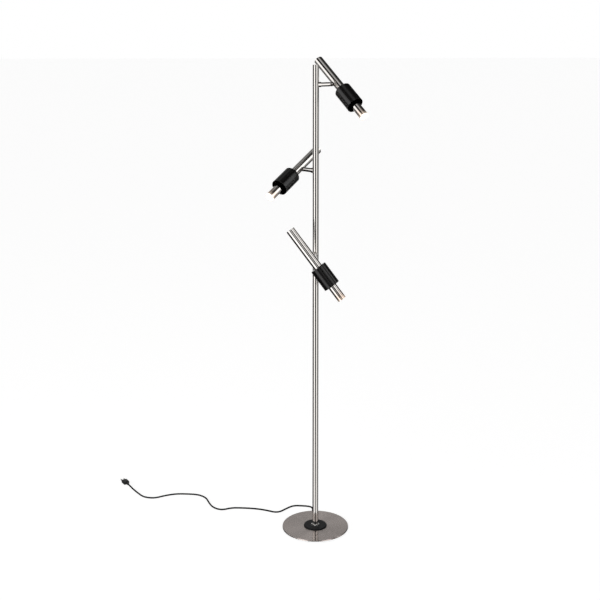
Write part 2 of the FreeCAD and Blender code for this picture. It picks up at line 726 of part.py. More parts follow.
def make_knuckle_nut(tier):
    name = "knuckle_nut_" + tier
    disc = cylinder(name + "_disc", "Sizes.stub_nut_diameter / 2", "Sizes.stub_nut_height",
                    axis="X", x="-" + STUB_NUT_OUTER, z="Sizes.mount_distance")
    bore = cylinder(name + "_bore", "Sizes.stub_diameter / 2", TUBE_RADIUS, axis="X",
                    x="-" + TUBE_RADIUS, z="Sizes.mount_distance")
    return node(name, cut(name + "_ring", disc, bore))


def make_head_tube(tier):
    name = "head_tube_" + tier
    body = turned(name + "_body", [
        (TUBE_BORE, "Sizes.tube_cap_thickness"),
        (TUBE_RADIUS, "Sizes.tube_cap_thickness"),
        (TUBE_RADIUS, "Sizes.head_length"),
        (TUBE_BORE, "Sizes.head_length"),
    ])
    hole = circle_sketch(body, name + "_hole", "YZ_Plane", "0", "Sizes.mount_distance",
                         "Sizes.stub_diameter / 2")
    pocket(body, name + "_drilled", hole, False)
    return node(name, body)


def make_tube_cap(tier):
    name = "tube_cap_" + tier
    plug = TUBE_BORE + " - Sizes.fit_gap"
    end = "Sizes.tube_cap_thickness + Sizes.tube_cap_plug"
    body = turned(name + "_body", [
        ("0", "0"),
        (TUBE_RADIUS + " - Sizes.tube_cap_bevel", "0"),
        (TUBE_RADIUS, "Sizes.tube_cap_bevel"),
        (TUBE_RADIUS, "Sizes.tube_cap_thickness"),
        (plug, "Sizes.tube_cap_thickness"),
        (plug, end),
        ("0", end),
    ])
    return node(name, body)


def make_collar(tier):
    """Black cup round the tube: closed at its upper end, open towards the light."""
    name = "collar_" + tier
    start = "Sizes.collar_start"
    mouth = "Sizes.collar_start + Sizes.collar_length"
    outer = "Sizes.collar_diameter / 2"
    inner = "Sizes.collar_diameter / 2 - Sizes.collar_wall"
    body = turned(name + "_body", [
        (TUBE_RADIUS, start),
        (outer, start),
        (outer, mouth),
        (inner, mouth),
        (inner, start + " + Sizes.collar_web"),
        (TUBE_RADIUS, start + " + Sizes.collar_web"),
    ])
    round_edge(body, name + "_edge", size("collar_diameter") / 2, size("collar_start"),
               "Sizes.collar_edge_radius")
    round_edge(body, name + "_mouth", size("collar_diameter") / 2,
               size("collar_start") + size("collar_length"), "Sizes.collar_wall / 3")
    return node(name, body)


LENS_FACE = "(Sizes.head_length - Sizes.lens_recess)"
LENS_BACK = "(%s - Sizes.lens_thickness)" % LENS_FACE
BOARD_FACE = "(%s - Sizes.lens_space)" % LENS_BACK
BOARD_BACK = "(%s - Sizes.board_thickness)" % BOARD_FACE
CORE_RADIUS = "%s - Sizes.clear_gap" % TUBE_BORE


def make_heatsink(tier):
    name = "led_heatsink_" + tier
    body = turned(name + "_body", [
        ("Sizes.heatsink_bore / 2", BOARD_BACK + " - Sizes.heatsink_length"),
        (CORE_RADIUS, BOARD_BACK + " - Sizes.heatsink_length"),
        (CORE_RADIUS, BOARD_BACK),
        ("Sizes.heatsink_bore / 2", BOARD_BACK),
    ])
    return node(name, body)


def make_board(tier):
    body = turned("led_board_%s_body" % tier, [
        ("0", BOARD_BACK),
        ("Sizes.board_diameter / 2", BOARD_BACK),
        ("Sizes.board_diameter / 2", BOARD_FACE),
        ("0", BOARD_FACE),
    ])
    return node("led_board_" + tier, body)


def make_lens(tier):
    """Frosted lens with a bevelled face, held in the tube's bore."""
    edge = TUBE_BORE + " - Sizes.fit_gap"
    body = turned("lens_%s_body" % tier, [
        ("0", LENS_BACK),
        (edge, LENS_BACK),
        (edge, LENS_FACE + " - Sizes.lens_thickness / 3"),
        (edge + " - Sizes.lens_thickness / 3", LENS_FACE),
        ("0", LENS_FACE),
    ])
    return node("lens_" + tier, body)


def make_driver(tier):
    """Potted driver in the upper part of the tube."""
    end = "Sizes.driver_start + Sizes.driver_length"
    body = turned("driver_%s_body" % tier, [
        ("0", "Sizes.driver_start"),
        (CORE_RADIUS + " - Sizes.driver_bevel", "Sizes.driver_start"),
        (CORE_RADIUS, "Sizes.driver_start + Sizes.driver_bevel"),
        (CORE_RADIUS, end + " - Sizes.driver_bevel"),
        (CORE_RADIUS + " - Sizes.driver_bevel", end),
        ("0", end),
    ])
    return node("driver_" + tier, body)


STAND_PARTS = (make_bush, make_washer)
ARM_PARTS = (make_arm_nut, make_stem)
HEAD_PARTS = (make_knuckle, make_tilt_screw, make_knuckle_nut, make_head_tube, make_tube_cap,
              make_collar, make_heatsink, make_board, make_lens, make_driver)


def make_tier(index, tier):
    """One arm with its head, turned and tilted as it stands."""
    swivel = size("swivel_" + tier)
    tilt = size("tilt_" + tier)
    for make in STAND_PARTS:
        make(tier).Placement = arm_placement(index, 0)
    for make in ARM_PARTS:
        make(tier).Placement = arm_placement(index, swivel)
    for make in HEAD_PARTS:
        place_in(make(tier), head_placement(index, swivel, tilt))


def place_in(thing, frame_placement):
    """Move a sub-part that is drawn in a frame's own axes into that frame."""
    thing.Placement = frame_placement.multiply(thing.Placement)


# ---------------------------------------------------------------- mains lead

# Route of the lead on the floor, from the gland's tip to the plug: x, y and the
# height of its centre above the floor, less its radius.
LEAD_ROUTE = [
    (-9.905, 141.654, 1.8),
    (-10.81, 154.62, 1.8),
    (-17.1, 166, 1.2),
    (-27.6, 173.6, 0.4),
    (-53, 178.5, 0.1),
    (-87, 180, 0.1),
    (-113, 155, 0.1),
    (-147, 114, 0.1),
    (-200, 141, 0.1),
    (-246, 153, 0.1),
    (-290, 157, 0.1),
    (-331, 158, 0.1),
    (-370, 137, 0.1),
    (-406, 161, 0.1),
    (-425, 203, 0.1),
    (-440, 248, 0.1),
    (-473, 277, 0.1),
    (-519, 283, 0.1),
    (-566, 284, 0.1),
    (-610, 267, 0.1),
    (-649, 242, 0.1),
    (-693, 252, 0.1),
    (-721, 288, 0.1),
    (-748, 326, 1),
    (-764, 350, 3.8),
    (-773, 364, 3.8),
]


def rounded_path(points, share=0.45):
    """Straight runs joined by tangent arcs, as large as the runs beside each allow."""
    edges = []
    radii = []
    last = points[0]
    for before, corner, after in zip(points, points[1:], points[2:]):
        back = before - corner
        ahead = after - corner
        half_turn = (math.pi - back.getAngle(ahead)) / 2
        inset = share * min(back.Length, ahead.Length)
        radius = inset / math.tan(half_turn)
        back.normalize()
        ahead.normalize()
        bisector = back + ahead
        bisector.normalize()
        start = corner + back * inset
        end = corner + ahead * inset
        middle = corner + bisector * (radius / math.cos(half_turn) - radius)
        edges.append(Part.LineSegment(last, start).toShape())
        edges.append(Part.Arc(start, middle, end).toShape())
        radii.append(radius)
        last = end
    edges.append(Part.LineSegment(last, points[-1]).toShape())
    return Part.Wire(edges), radii


def tube_along(name, path, diameter):
    """Round tube along a wire, with its volume compared; diameter is a size's name."""
    spine = doc.addObject("Part::Feature", name + "_path")
    spine.Shape = path
    ring = doc.addObject("Part::Circle", name + "_section")
    ring.setExpression("Radius", "Sizes.%s / 2" % diameter)
    first = path.Edges[0]
    heading = first.tangentAt(first.FirstParameter)
    ring.Placement = Placement(first.valueAt(first.FirstParameter), Rotation(AXES["Z"], heading))
    sweep = doc.addObject("Part::Sweep", name + "_tube")
    sweep.Sections = [ring]
    sweep.Spine = (spine, ["Edge%d" % (number + 1) for number in range(len(path.Edges))])
    sweep.Solid = True
    sweep.Frenet = False
    doc.recompute()
    expected = math.pi * (size(diameter) / 2) ** 2 * path.Length
    print("%s: length %.1f, volume %.1f, section times length %.1f"
          % (name, path.Length, sweep.Shape.Volume, expected))
    return node(name, sweep)


def lead_points():
    radius = size("lead_diameter") / 2
    return [Vector(x, y, radius + lift) for x, y, lift in LEAD_ROUTE]


def exit_axis():
    """Unit vector in which the lead leaves the base."""
    azimuth = math.radians(size("lead_exit_azimuth"))
    return Vector(math.cos(azimuth), math.sin(azimuth), 0)


def gland_height():
    """Height of the gland's axis, midway up the weight's channel."""
    return size("pad_thickness") + size("weight_thickness") / 2


def make_mains_lead():
    path, radii = rounded_path(lead_points())
    print("mains lead radii:", ", ".join("%.0f" % radius for radius in radii))
    tube_along("mains_cord", path, "lead_diameter")


def make_inner_lead():
    """Lead inside the lamp: along the weight's channel, then up the pole to the top arm."""
    height = gland_height()
    outer = size("base_diameter") / 2 - size("gland_inside")
    bend = size("lead_bend_radius")
    start = exit_axis() * outer + Vector(0, 0, height)
    turn_in = exit_axis() * bend + Vector(0, 0, height)
    inner = exit_axis() * (bend * (1 - math.sqrt(0.5)))
    middle = inner + Vector(0, 0, height + bend * (1 - math.sqrt(0.5)))
    turn_out = Vector(0, 0, height + bend)
    end = Vector(0, 0, arm_height(0))
    path = Part.Wire([
        Part.LineSegment(start, turn_in).toShape(),
        Part.Arc(turn_in, middle, turn_out).toShape(),
        Part.LineSegment(turn_out, end).toShape(),
    ])
    tube_along("inner_lead", path, "inner_lead_diameter")


def make_gland():
    """Rubber gland in the rim's notch, tapering along the lead."""
    inside = "Sizes.weight_thickness / 2 - Sizes.fit_gap"
    shoulder = "Sizes.gland_shoulder / 2"
    tip = "(Sizes.lead_diameter + Sizes.gland_neck) / 2"
    rim = "Sizes.gland_inside + Sizes.clear_gap"
    end = "Sizes.gland_inside + Sizes.gland_outside"
    body = turned("cord_gland_body", [
        ("0", "0"),
        (inside, "0"),
        (inside, rim),
        (shoulder, rim),
        (shoulder, rim + " + Sizes.gland_lip"),
        (tip, end),
        ("0", end),
    ])
    start = exit_axis() * (size("base_diameter") / 2 - size("gland_inside"))
    body.Placement = Placement(start + Vector(0, 0, gland_height()),
                               Rotation(AXES["Z"], exit_axis()))
    node("cord_gland", body)


def plug_placement():
    """Frame of the plug: X along it from the lead's end, Z up."""
    last, end = lead_points()[-2:]
    heading = end - last
    heading.z = 0
    heading.normalize()
    return frame(end, heading, AXES["Z"].cross(heading), AXES["Z"])


def make_plug():
    """Moulded two-pin plug, lying flat on the floor."""
    tail = doc.addObject("Part::Cone", "plug_tail")
    tail.setExpression("Radius1", "(Sizes.lead_diameter + Sizes.gland_neck) / 2")
    tail.setExpression("Radius2", "Sizes.plug_height / 2 - Sizes.gland_neck")
    tail.setExpression("Height", "Sizes.plug_tail_length")
    tail.Placement = Placement(Vector(), Rotation(AXES["Z"], AXES["X"]))
    shell = box("plug_shell", "Sizes.plug_length", "Sizes.plug_width", "Sizes.plug_height",
                "Sizes.plug_tail_length", "-Sizes.plug_width / 2", "-Sizes.plug_height / 2")
    rounded = doc.addObject("Part::Fillet", "plug_shell_rounded")
    rounded.Base = shell
    doc.recompute()
    rounding = size("plug_height") / 4
    rounded.Edges = [(number + 1, rounding, rounding) for number in range(12)]
    body = joined("plug_joined", [tail, rounded])
    pins = []
    for side, sign in (("left", "-"), ("right", "")):
        pin = box("plug_pin_" + side, "Sizes.pin_length", "Sizes.pin_thickness", "Sizes.pin_width",
                  "Sizes.plug_tail_length + Sizes.plug_length",
                  "%sSizes.pin_spacing / 2 - Sizes.pin_thickness / 2" % sign,
                  "-Sizes.pin_width / 2")
        pins.append(pin)
    pair = doc.addObject("Part::Compound", "plug_pin_pair")
    pair.Links = pins
    place_in(node("plug_body", body), plug_placement())
    place_in(node("plug_pins", pair), plug_placement())


# ---------------------------------------------------------------- build, check and write

make_pad()
make_weight()
make_cover()
make_disc()
make_foot()
make_foot_screws()
make_ring()
make_lower_pole()
make_coupler()
make_upper_pole()
make_pole_cap()
for tier_index, tier_name in enumerate(TIERS):
    make_tier(tier_index, tier_name)
make_gland()
make_inner_lead()
make_mains_lead()
make_plug()
doc.recompute()

for thing in doc.Objects:
    if "Invalid" in thing.State or "Error" in thing.State:
        raise RuntimeError("%s failed: %s" % (thing.Name, thing.State))
for name, thing in NODES.items():
    if thing.Shape.isNull() or not thing.Shape.isValid():
        raise RuntimeError("%s has no valid shape" % name)

os.makedirs("parts", exist_ok=True)
for name, thing in NODES.items():
    thing.Shape.exportStep("parts/%s.step" % name)
print("%d sub-parts written" % len(NODES))
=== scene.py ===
"""Looks of the tree floor lamp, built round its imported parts.  Metres, +Z up.

The viewer stands at -Y and looks towards +Y, with +X to the right.
"""
import bpy
import math
from mathutils import Matrix, Vector


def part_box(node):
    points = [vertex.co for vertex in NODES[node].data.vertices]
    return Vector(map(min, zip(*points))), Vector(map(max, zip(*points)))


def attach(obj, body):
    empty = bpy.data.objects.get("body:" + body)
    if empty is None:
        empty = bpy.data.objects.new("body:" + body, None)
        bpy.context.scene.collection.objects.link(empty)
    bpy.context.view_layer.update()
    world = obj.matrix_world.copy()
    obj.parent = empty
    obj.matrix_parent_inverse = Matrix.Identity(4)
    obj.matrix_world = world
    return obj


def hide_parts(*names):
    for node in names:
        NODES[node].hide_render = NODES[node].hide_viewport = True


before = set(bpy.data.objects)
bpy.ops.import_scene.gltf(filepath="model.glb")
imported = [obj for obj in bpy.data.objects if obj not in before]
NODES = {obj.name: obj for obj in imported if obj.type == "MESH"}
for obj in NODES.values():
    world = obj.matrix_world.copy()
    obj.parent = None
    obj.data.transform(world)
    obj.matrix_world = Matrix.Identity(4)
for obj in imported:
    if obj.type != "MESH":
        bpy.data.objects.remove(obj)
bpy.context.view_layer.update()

TIERS = ("top", "middle", "bottom")
MM = 0.001


# ---------------------------------------------------------------- camera

CAMERA_PLACE = Vector((0, -3.9179, 1.9829))
CAMERA_PITCH = math.radians(15.45)
CAMERA_YAW = math.radians(-0.82)
CAMERA_ROLL = math.radians(-0.15)
CAMERA_LENS = 67.65
CAMERA_REACH = 200


def make_camera():
    """Camera at the photograph's place; pitch is downwards, yaw towards +X."""
    level = math.cos(CAMERA_PITCH)
    ahead = Vector((math.sin(CAMERA_YAW) * level, math.cos(CAMERA_YAW) * level,
                    -math.sin(CAMERA_PITCH)))
    right = Vector((math.cos(CAMERA_YAW), -math.sin(CAMERA_YAW), 0))
    up = right.cross(ahead)
    rolled_right = right * math.cos(CAMERA_ROLL) + up * math.sin(CAMERA_ROLL)
    rolled_up = up * math.cos(CAMERA_ROLL) - right * math.sin(CAMERA_ROLL)
    turn = Matrix((rolled_right, rolled_up, -ahead)).transposed()
    data = bpy.data.cameras.new("camera")
    data.lens = CAMERA_LENS
    data.clip_end = CAMERA_REACH
    camera = bpy.data.objects.new("camera", data)
    camera.matrix_world = Matrix.Translation(CAMERA_PLACE) @ turn.to_4x4()
    bpy.context.scene.collection.objects.link(camera)
    bpy.context.scene.camera = camera


make_camera()


# ---------------------------------------------------------------- mains lead

LEAD_DIAMETER = 6.4 * MM
LEAD_STEPS = 10
LEAD_ROUNDNESS = 5

# The lead's route in millimetres: x, y and the height of its centre above the floor,
# less its radius.
LEAD_ROUTE = [
    (-9.905, 141.654, 1.8),
    (-10.81, 154.62, 1.8),
    (-17.1, 166, 1.2),
    (-27.6, 173.6, 0.4),
    (-53, 178.5, 0.1),
    (-87, 180, 0.1),
    (-113, 155, 0.1),
    (-147, 114, 0.1),
    (-200, 141, 0.1),
    (-246, 153, 0.1),
    (-290, 157, 0.1),
    (-331, 158, 0.1),
    (-370, 137, 0.1),
    (-406, 161, 0.1),
    (-425, 203, 0.1),
    (-440, 248, 0.1),
    (-473, 277, 0.1),
    (-519, 283, 0.1),
    (-566, 284, 0.1),
    (-610, 267, 0.1),
    (-649, 242, 0.1),
    (-693, 252, 0.1),
    (-721, 288, 0.1),
    (-748, 326, 1),
    (-764, 350, 3.8),
    (-773, 364, 3.8),
]


def lead_point(x, y, lift):
    return Vector((x * MM, y * MM, LEAD_DIAMETER / 2 + lift * MM))


def make_mains_lead():
    """The free lead as one smooth round curve along its route."""
    curve = bpy.data.curves.new("mains_lead", "CURVE")
    curve.dimensions = "3D"
    spline = curve.splines.new("NURBS")
    spline.points.add(len(LEAD_ROUTE) - 1)
    for point, place in zip(spline.points, LEAD_ROUTE):
        point.co = (*lead_point(*place), 1)
        point.radius = LEAD_DIAMETER / 2
    spline.order_u = 3
    spline.use_endpoint_u = True
    spline.resolution_u = LEAD_STEPS
    # The points carry the lead's radius, because Blender adds it to the curve's box.
    curve.bevel_depth = 1
    curve.bevel_resolution = LEAD_ROUNDNESS
    curve.use_fill_caps = True
    lead = bpy.data.objects.new("mains_lead", curve)
    bpy.context.scene.collection.objects.link(lead)
    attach(lead, "stand")
    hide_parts("mains_cord")
    return lead


mains_lead = make_mains_lead()


# ---------------------------------------------------------------- material helpers


class Graph:
    """A node tree with short ways to add and link nodes."""

    def __init__(self, tree):
        self.tree = tree
        tree.nodes.clear()

    def add(self, kind, settings=None, inputs=None):
        """New node; an input is given by name or number, as a value or an output to link."""
        node = self.tree.nodes.new("ShaderNode" + kind)
        for name, value in (settings or {}).items():
            setattr(node, name, value)
        for name, value in (inputs or {}).items():
            if isinstance(value, bpy.types.NodeSocket):
                self.tree.links.new(value, node.inputs[name])
            else:
                node.inputs[name].default_value = value
        return node

    def math(self, operation, *values):
        """Output of a math node."""
        node = self.add("Math", {"operation": operation}, dict(enumerate(values)))
        return node.outputs[0]

    def vector(self, operation, output, *values):
        """Output of a vector math node."""
        node = self.add("VectorMath", {"operation": operation}, dict(enumerate(values)))
        return node.outputs[output]

    def ramp(self, value, low, high, start, end):
        """Value from low to high becomes start to end, smoothly, and stays there beyond."""
        node = self.add("MapRange", {"interpolation_type": "SMOOTHSTEP"}, {
            "Value": value, "From Min": low, "From Max": high, "To Min": start, "To Max": end})
        return node.outputs["Result"]

    def mix(self, factor, first, second):
        """Colour between two colours."""
        node = self.add("Mix", {"data_type": "RGBA"}, {"Factor": factor, 6: first, 7: second})
        return node.outputs[2]

    def noise(self, place, scale, detail, dimensions="3D"):
        """Noise from 0 to 1 at a place, given as a vector, or as a number in one dimension."""
        source = "W" if dimensions == "1D" else "Vector"
        node = self.add("TexNoise", {"noise_dimensions": dimensions},
                        {source: place, "Scale": scale, "Detail": detail})
        return node.outputs[0]


def new_material(name):
    material = bpy.data.materials.new(name)
    material.use_nodes = True
    return material, Graph(material.node_tree)


def finish_material(graph, settings, normal=None, tangent=None):
    """Principled surface with its settings, linked to the output; gives the shader node."""
    shader = graph.add("BsdfPrincipled", None, settings)
    if normal is not None:
        graph.tree.links.new(normal, shader.inputs["Normal"])
    if tangent is not None:
        graph.tree.links.new(tangent, shader.inputs["Tangent"])
    graph.add("OutputMaterial", None, {"Surface": shader.outputs[0]})
    return shader


def shade(color, factor=1.0):
    """A colour times a factor, with its alpha."""
    return (color[0] * factor, color[1] * factor, color[2] * factor, 1)


def bump(graph, height, distance, strength):
    """Normal of a surface roughened by a height from 0 to 1."""
    node = graph.add("Bump", None, {
        "Strength": strength, "Distance": distance, "Height": height})
    return node.outputs[0]


def object_place(graph):
    """Place on a part in metres; every part's own frame is the lamp's frame at rest."""
    return graph.add("TexCoord").outputs["Object"]


# ---------------------------------------------------------------- metals

NICKEL = (0.70, 0.672, 0.645)
TUBE_ROUGHNESS = 0.10
TUBE_ANISOTROPY = 0.55
TUBE_GRAIN_SCALE = 1400
TUBE_GRAIN_DRIFT = 1.2 * MM
TUBE_GRAIN_STRENGTH = 0.12

PLATE_STEEL = (0.70, 0.625, 0.59)
PLATE_ROUGHNESS = (0.20, 0.26)
PLATE_ANISOTROPY = 1.0
PLATE_GRAIN_SCALE = 1600
PLATE_GRAIN_DRIFT = 0.6 * MM
PLATE_GRAIN_STRENGTH = 0.25

GRAIN_DEPTH = 0.02 * MM

# Plated and bare metal finishes: colour and roughness.
PLATED_FINISHES = {
    "plated_steel": ((0.62, 0.62, 0.61), 0.3),
    "bright_ring": ((0.88, 0.87, 0.85), 0.22),
    "plated_pins": ((0.74, 0.72, 0.66), 0.18),
    "aluminium_core": ((0.72, 0.72, 0.73), 0.4),
}

CAST_DARK = (0.05, 0.05, 0.052, 1)
CAST_LIGHT = (0.14, 0.14, 0.142, 1)

# The lit end of a head's tube: painted warm lamplight tints its metal there, and its last part
# has a painted glow.
PAINTED_LAMPLIGHT_NICKEL = (0.78, 0.62, 0.52, 1)
PAINTED_LAMPLIGHT_LENGTH = 45 * MM
PAINTED_GLOW_LIGHT = (1.0, 0.84, 0.70, 1)
PAINTED_GLOW_LENGTH = 15 * MM
PAINTED_GLOW_STRENGTH = 0.30


def brushed_tube(name, axis, end=None):
    """Nickel with a fine grain round an axis; end is the lit end of a head's tube, where
    lamplight is painted on as a warm tint and a glow.
    """
    material, graph = new_material(name)
    place = object_place(graph)
    along = graph.vector("DOT_PRODUCT", "Value", place, axis)
    drift = graph.noise(place, 60, 2)
    rings = graph.math("ADD", along, graph.math("MULTIPLY", drift, TUBE_GRAIN_DRIFT))
    grain = graph.noise(rings, TUBE_GRAIN_SCALE, 4, "1D")
    cloud = graph.noise(place, 25, 3)
    tone = graph.mix(grain, shade(NICKEL, 0.95), shade(NICKEL, 1.04))
    tone = graph.mix(graph.math("MULTIPLY", cloud, 0.25), tone, shade(NICKEL, 0.9))
    rough = graph.ramp(grain, 0.2, 0.8, TUBE_ROUGHNESS - 0.02, TUBE_ROUGHNESS + 0.03)
    direction = graph.add("VectorTransform", {
        "vector_type": "VECTOR", "convert_from": "OBJECT", "convert_to": "WORLD"},
        {"Vector": axis}).outputs[0]
    settings = {"Base Color": tone, "Metallic": 1.0, "Roughness": rough,
                "Anisotropic": TUBE_ANISOTROPY}
    # Painted light: towards the lit end the metal's colour turns to a painted warm tint, and
    # its last part gets a painted glow.
    if end is not None:
        painted_lamplight = graph.ramp(along, end - PAINTED_LAMPLIGHT_LENGTH, end, 0, 1)
        settings["Base Color"] = graph.mix(painted_lamplight, tone, PAINTED_LAMPLIGHT_NICKEL)
        settings["Emission Color"] = PAINTED_GLOW_LIGHT
        settings["Emission Strength"] = graph.ramp(
            along, end - PAINTED_GLOW_LENGTH, end, 0, PAINTED_GLOW_STRENGTH)
    normal = bump(graph, grain, GRAIN_DEPTH, TUBE_GRAIN_STRENGTH)
    finish_material(graph, settings, normal, direction)
    return material


def brushed_plate(name):
    """Steel brushed in circles about the pole."""
    material, graph = new_material(name)
    place = object_place(graph)
    flat = graph.vector("MULTIPLY", "Vector", place, (1, 1, 0))
    radius = graph.vector("LENGTH", "Value", flat)
    drift = graph.noise(place, 40, 2)
    circles = graph.math("ADD", radius, graph.math("MULTIPLY", drift, PLATE_GRAIN_DRIFT))
    grain = graph.noise(circles, PLATE_GRAIN_SCALE, 5, "1D")
    cloud = graph.noise(place, 14, 3)
    tone = graph.mix(grain, shade(PLATE_STEEL, 0.90), shade(PLATE_STEEL, 1.06))
    tone = graph.mix(graph.math("MULTIPLY", cloud, 0.3), tone, shade(PLATE_STEEL, 0.85))
    rough = graph.ramp(grain, 0.2, 0.8, *PLATE_ROUGHNESS)
    outward = graph.vector("NORMALIZE", "Vector", flat)
    settings = {"Base Color": tone, "Metallic": 1.0, "Roughness": rough,
                "Anisotropic": PLATE_ANISOTROPY}
    normal = bump(graph, grain, GRAIN_DEPTH, PLATE_GRAIN_STRENGTH)
    finish_material(graph, settings, normal, outward)
    return material


def plated_metal(name):
    """Plated small part with faint handling marks."""
    color, roughness = PLATED_FINISHES[name]
    material, graph = new_material(name)
    place = object_place(graph)
    cloud = graph.noise(place, 350, 4)
    tone = graph.mix(cloud, shade(color, 0.93), shade(color, 1.04))
    rough = graph.ramp(cloud, 0.3, 0.7, roughness * 0.8, roughness * 1.3)
    finish_material(graph, {"Base Color": tone, "Metallic": 1.0, "Roughness": rough},
                    bump(graph, cloud, 0.03 * MM, 0.2))
    return material


def cast_metal(name):
    """Rough grey casting."""
    material, graph = new_material(name)
    place = object_place(graph)
    sand = graph.noise(place, 900, 6)
    tone = graph.mix(sand, CAST_DARK, CAST_LIGHT)
    finish_material(graph, {"Base Color": tone, "Metallic": 0.7, "Roughness": 0.7},
                    bump(graph, sand, 0.25 * MM, 0.8))
    return material


# ---------------------------------------------------------------- blacks and plastics

# Black finishes: colour, roughness, scale and depth of the grain, and index of refraction.
BLACK_FINISHES = {
    "collar_black": ((0.0040, 0.0033, 0.0032), 0.24, 1500, 0.02 * MM, 1.48),
    "disc_black": ((0.006, 0.0065, 0.0075), 0.42, 900, 0.04 * MM, 1.28),
    "rubber_black": ((0.006, 0.006, 0.006), 0.55, 700, 0.05 * MM, 1.4),
    "lead_black": ((0.003, 0.003, 0.003), 0.5, 500, 0.04 * MM, 1.28),
    "plug_black": ((0.012, 0.012, 0.012), 0.42, 800, 0.05 * MM, 1.5),
}

PALE_FINISHES = {
    "white_board": (0.8, 0.8, 0.78),
    "driver_case": (0.62, 0.62, 0.62),
}

FOAM_DARK = (0.008, 0.008, 0.008, 1)
FOAM_LIGHT = (0.035, 0.035, 0.035, 1)


def black_coat(name):
    """Black coating or plastic with a fine orange-peel surface."""
    color, roughness, grain_scale, depth, ior = BLACK_FINISHES[name]
    material, graph = new_material(name)
    place = object_place(graph)
    peel = graph.noise(place, grain_scale, 4)
    cloud = graph.noise(place, 30, 2)
    tone = graph.mix(cloud, shade(color, 0.8), shade(color, 1.25))
    rough = graph.ramp(peel, 0.3, 0.7, roughness * 0.9, roughness * 1.15)
    finish_material(graph, {"Base Color": tone, "Roughness": rough, "IOR": ior},
                    bump(graph, peel, depth, 0.5))
    return material


def pale_plastic(name):
    """Matt plastic or board of the hidden parts."""
    color = PALE_FINISHES[name]
    material, graph = new_material(name)
    grain = graph.noise(object_place(graph), 600, 3)
    tone = graph.mix(grain, shade(color, 0.94), shade(color, 1.02))
    finish_material(graph, {"Base Color": tone, "Roughness": 0.6},
                    bump(graph, grain, 0.05 * MM, 0.3))
    return material


def foam(name):
    """Closed-cell foam of the pad."""
    material, graph = new_material(name)
    cells = graph.add("TexVoronoi", None, {"Vector": object_place(graph), "Scale": 1400})
    tone = graph.mix(cells.outputs["Distance"], FOAM_DARK, FOAM_LIGHT)
    finish_material(graph, {"Base Color": tone, "Roughness": 0.9},
                    bump(graph, cells.outputs["Distance"], 0.2 * MM, 0.6))
    return material


# ---------------------------------------------------------------- the light itself

LENS_COLOR = (0.9, 0.88, 0.84, 1)
LIGHT_COLOR = (1.0, 0.93, 0.83, 1)
LENS_STRENGTH = 4.0


def lit_lens(name):
    """Frosted lens, lit from behind."""
    material, graph = new_material(name)
    frost = graph.noise(object_place(graph), 900, 3)
    strength = graph.ramp(frost, 0.2, 0.8, LENS_STRENGTH * 0.92, LENS_STRENGTH)
    settings = {"Base Color": LENS_COLOR, "Roughness": 0.45,
                "Emission Color": LIGHT_COLOR, "Emission Strength": strength}
    finish_material(graph, settings, bump(graph, frost, 0.05 * MM, 0.3))
    return material


# ---------------------------------------------------------------- dressing the parts

SMOOTH_ANGLE = math.radians(30)


def paint(name, material):
    """Give a CAD part its material and smooth shading up to an angle between faces."""
    part = NODES[name]
    part.data.materials.clear()
    part.data.materials.append(material)
    part.data.shade_smooth()
    part.data.set_sharp_from_angle(angle=SMOOTH_ANGLE)


def tube_axis(tier):
    """Axis of a head's tube, from its end cap to its lens, and the place of its lit end."""
    cap_low, cap_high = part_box("tube_cap_" + tier)
    lens_low, lens_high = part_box("lens_" + tier)
    start = (cap_low + cap_high) / 2
    finish = (lens_low + lens_high) / 2
    axis = (finish - start).normalized()
    tube = NODES["head_tube_" + tier].data
    return axis, max(vertex.co.dot(axis) for vertex in tube.vertices)


def arm_axis(tier):
    """Level axis of an arm, from the pole outwards."""
    low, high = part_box("tilt_screw_" + tier)
    centre = (low + high) / 2
    return Vector((centre.x, centre.y, 0)).normalized()


def dress():
    """Give every part of the lamp its material."""
    upright = (0, 0, 1)
    nickel = brushed_tube("nickel_pole", upright)
    plated = plated_metal("plated_steel")
    collar_black = black_coat("collar_black")
    for name in ("pole_lower", "pole_upper", "pole_cap"):
        paint(name, nickel)
    for name in ("pole_foot", "foot_screws", "pole_coupler"):
        paint(name, plated)
    paint("base_cover", brushed_plate("brushed_plate"))
    paint("base_weight", cast_metal("cast_weight"))
    paint("base_pad", foam("foam_pad"))
    paint("base_disc", black_coat("disc_black"))
    paint("pole_ring", plated_metal("bright_ring"))
    paint("cord_gland", black_coat("rubber_black"))
    lead_black = black_coat("lead_black")
    paint("inner_lead", lead_black)
    mains_lead.data.materials.append(lead_black)
    paint("plug_body", black_coat("plug_black"))
    paint("plug_pins", plated_metal("plated_pins"))
    core = plated_metal("aluminium_core")
    board = pale_plastic("white_board")
    case = pale_plastic("driver_case")
    lens = lit_lens("lit_lens")
    for tier in TIERS:
        axis, end = tube_axis(tier)
        arm = brushed_tube("nickel_arm_" + tier, arm_axis(tier))
        for name in ("arm_stem_", "swivel_bush_", "knuckle_"):
            paint(name + tier, arm)
        # The head tube's material has a painted warm tint and a painted glow at its lit end.
        paint("head_tube_" + tier, brushed_tube("nickel_head_painted_light_" + tier, axis, end))
        paint("tube_cap_" + tier, brushed_tube("nickel_cap_" + tier, axis))
        for name in ("thrust_washer_", "arm_nut_", "tilt_screw_", "knuckle_nut_"):
            paint(name + tier, plated)
        paint("collar_" + tier, collar_black)
        paint("led_heatsink_" + tier, core)
        paint("led_board_" + tier, board)
        paint("lens_" + tier, lens)
        paint("driver_" + tier, case)


dress()


# ---------------------------------------------------------------- studio

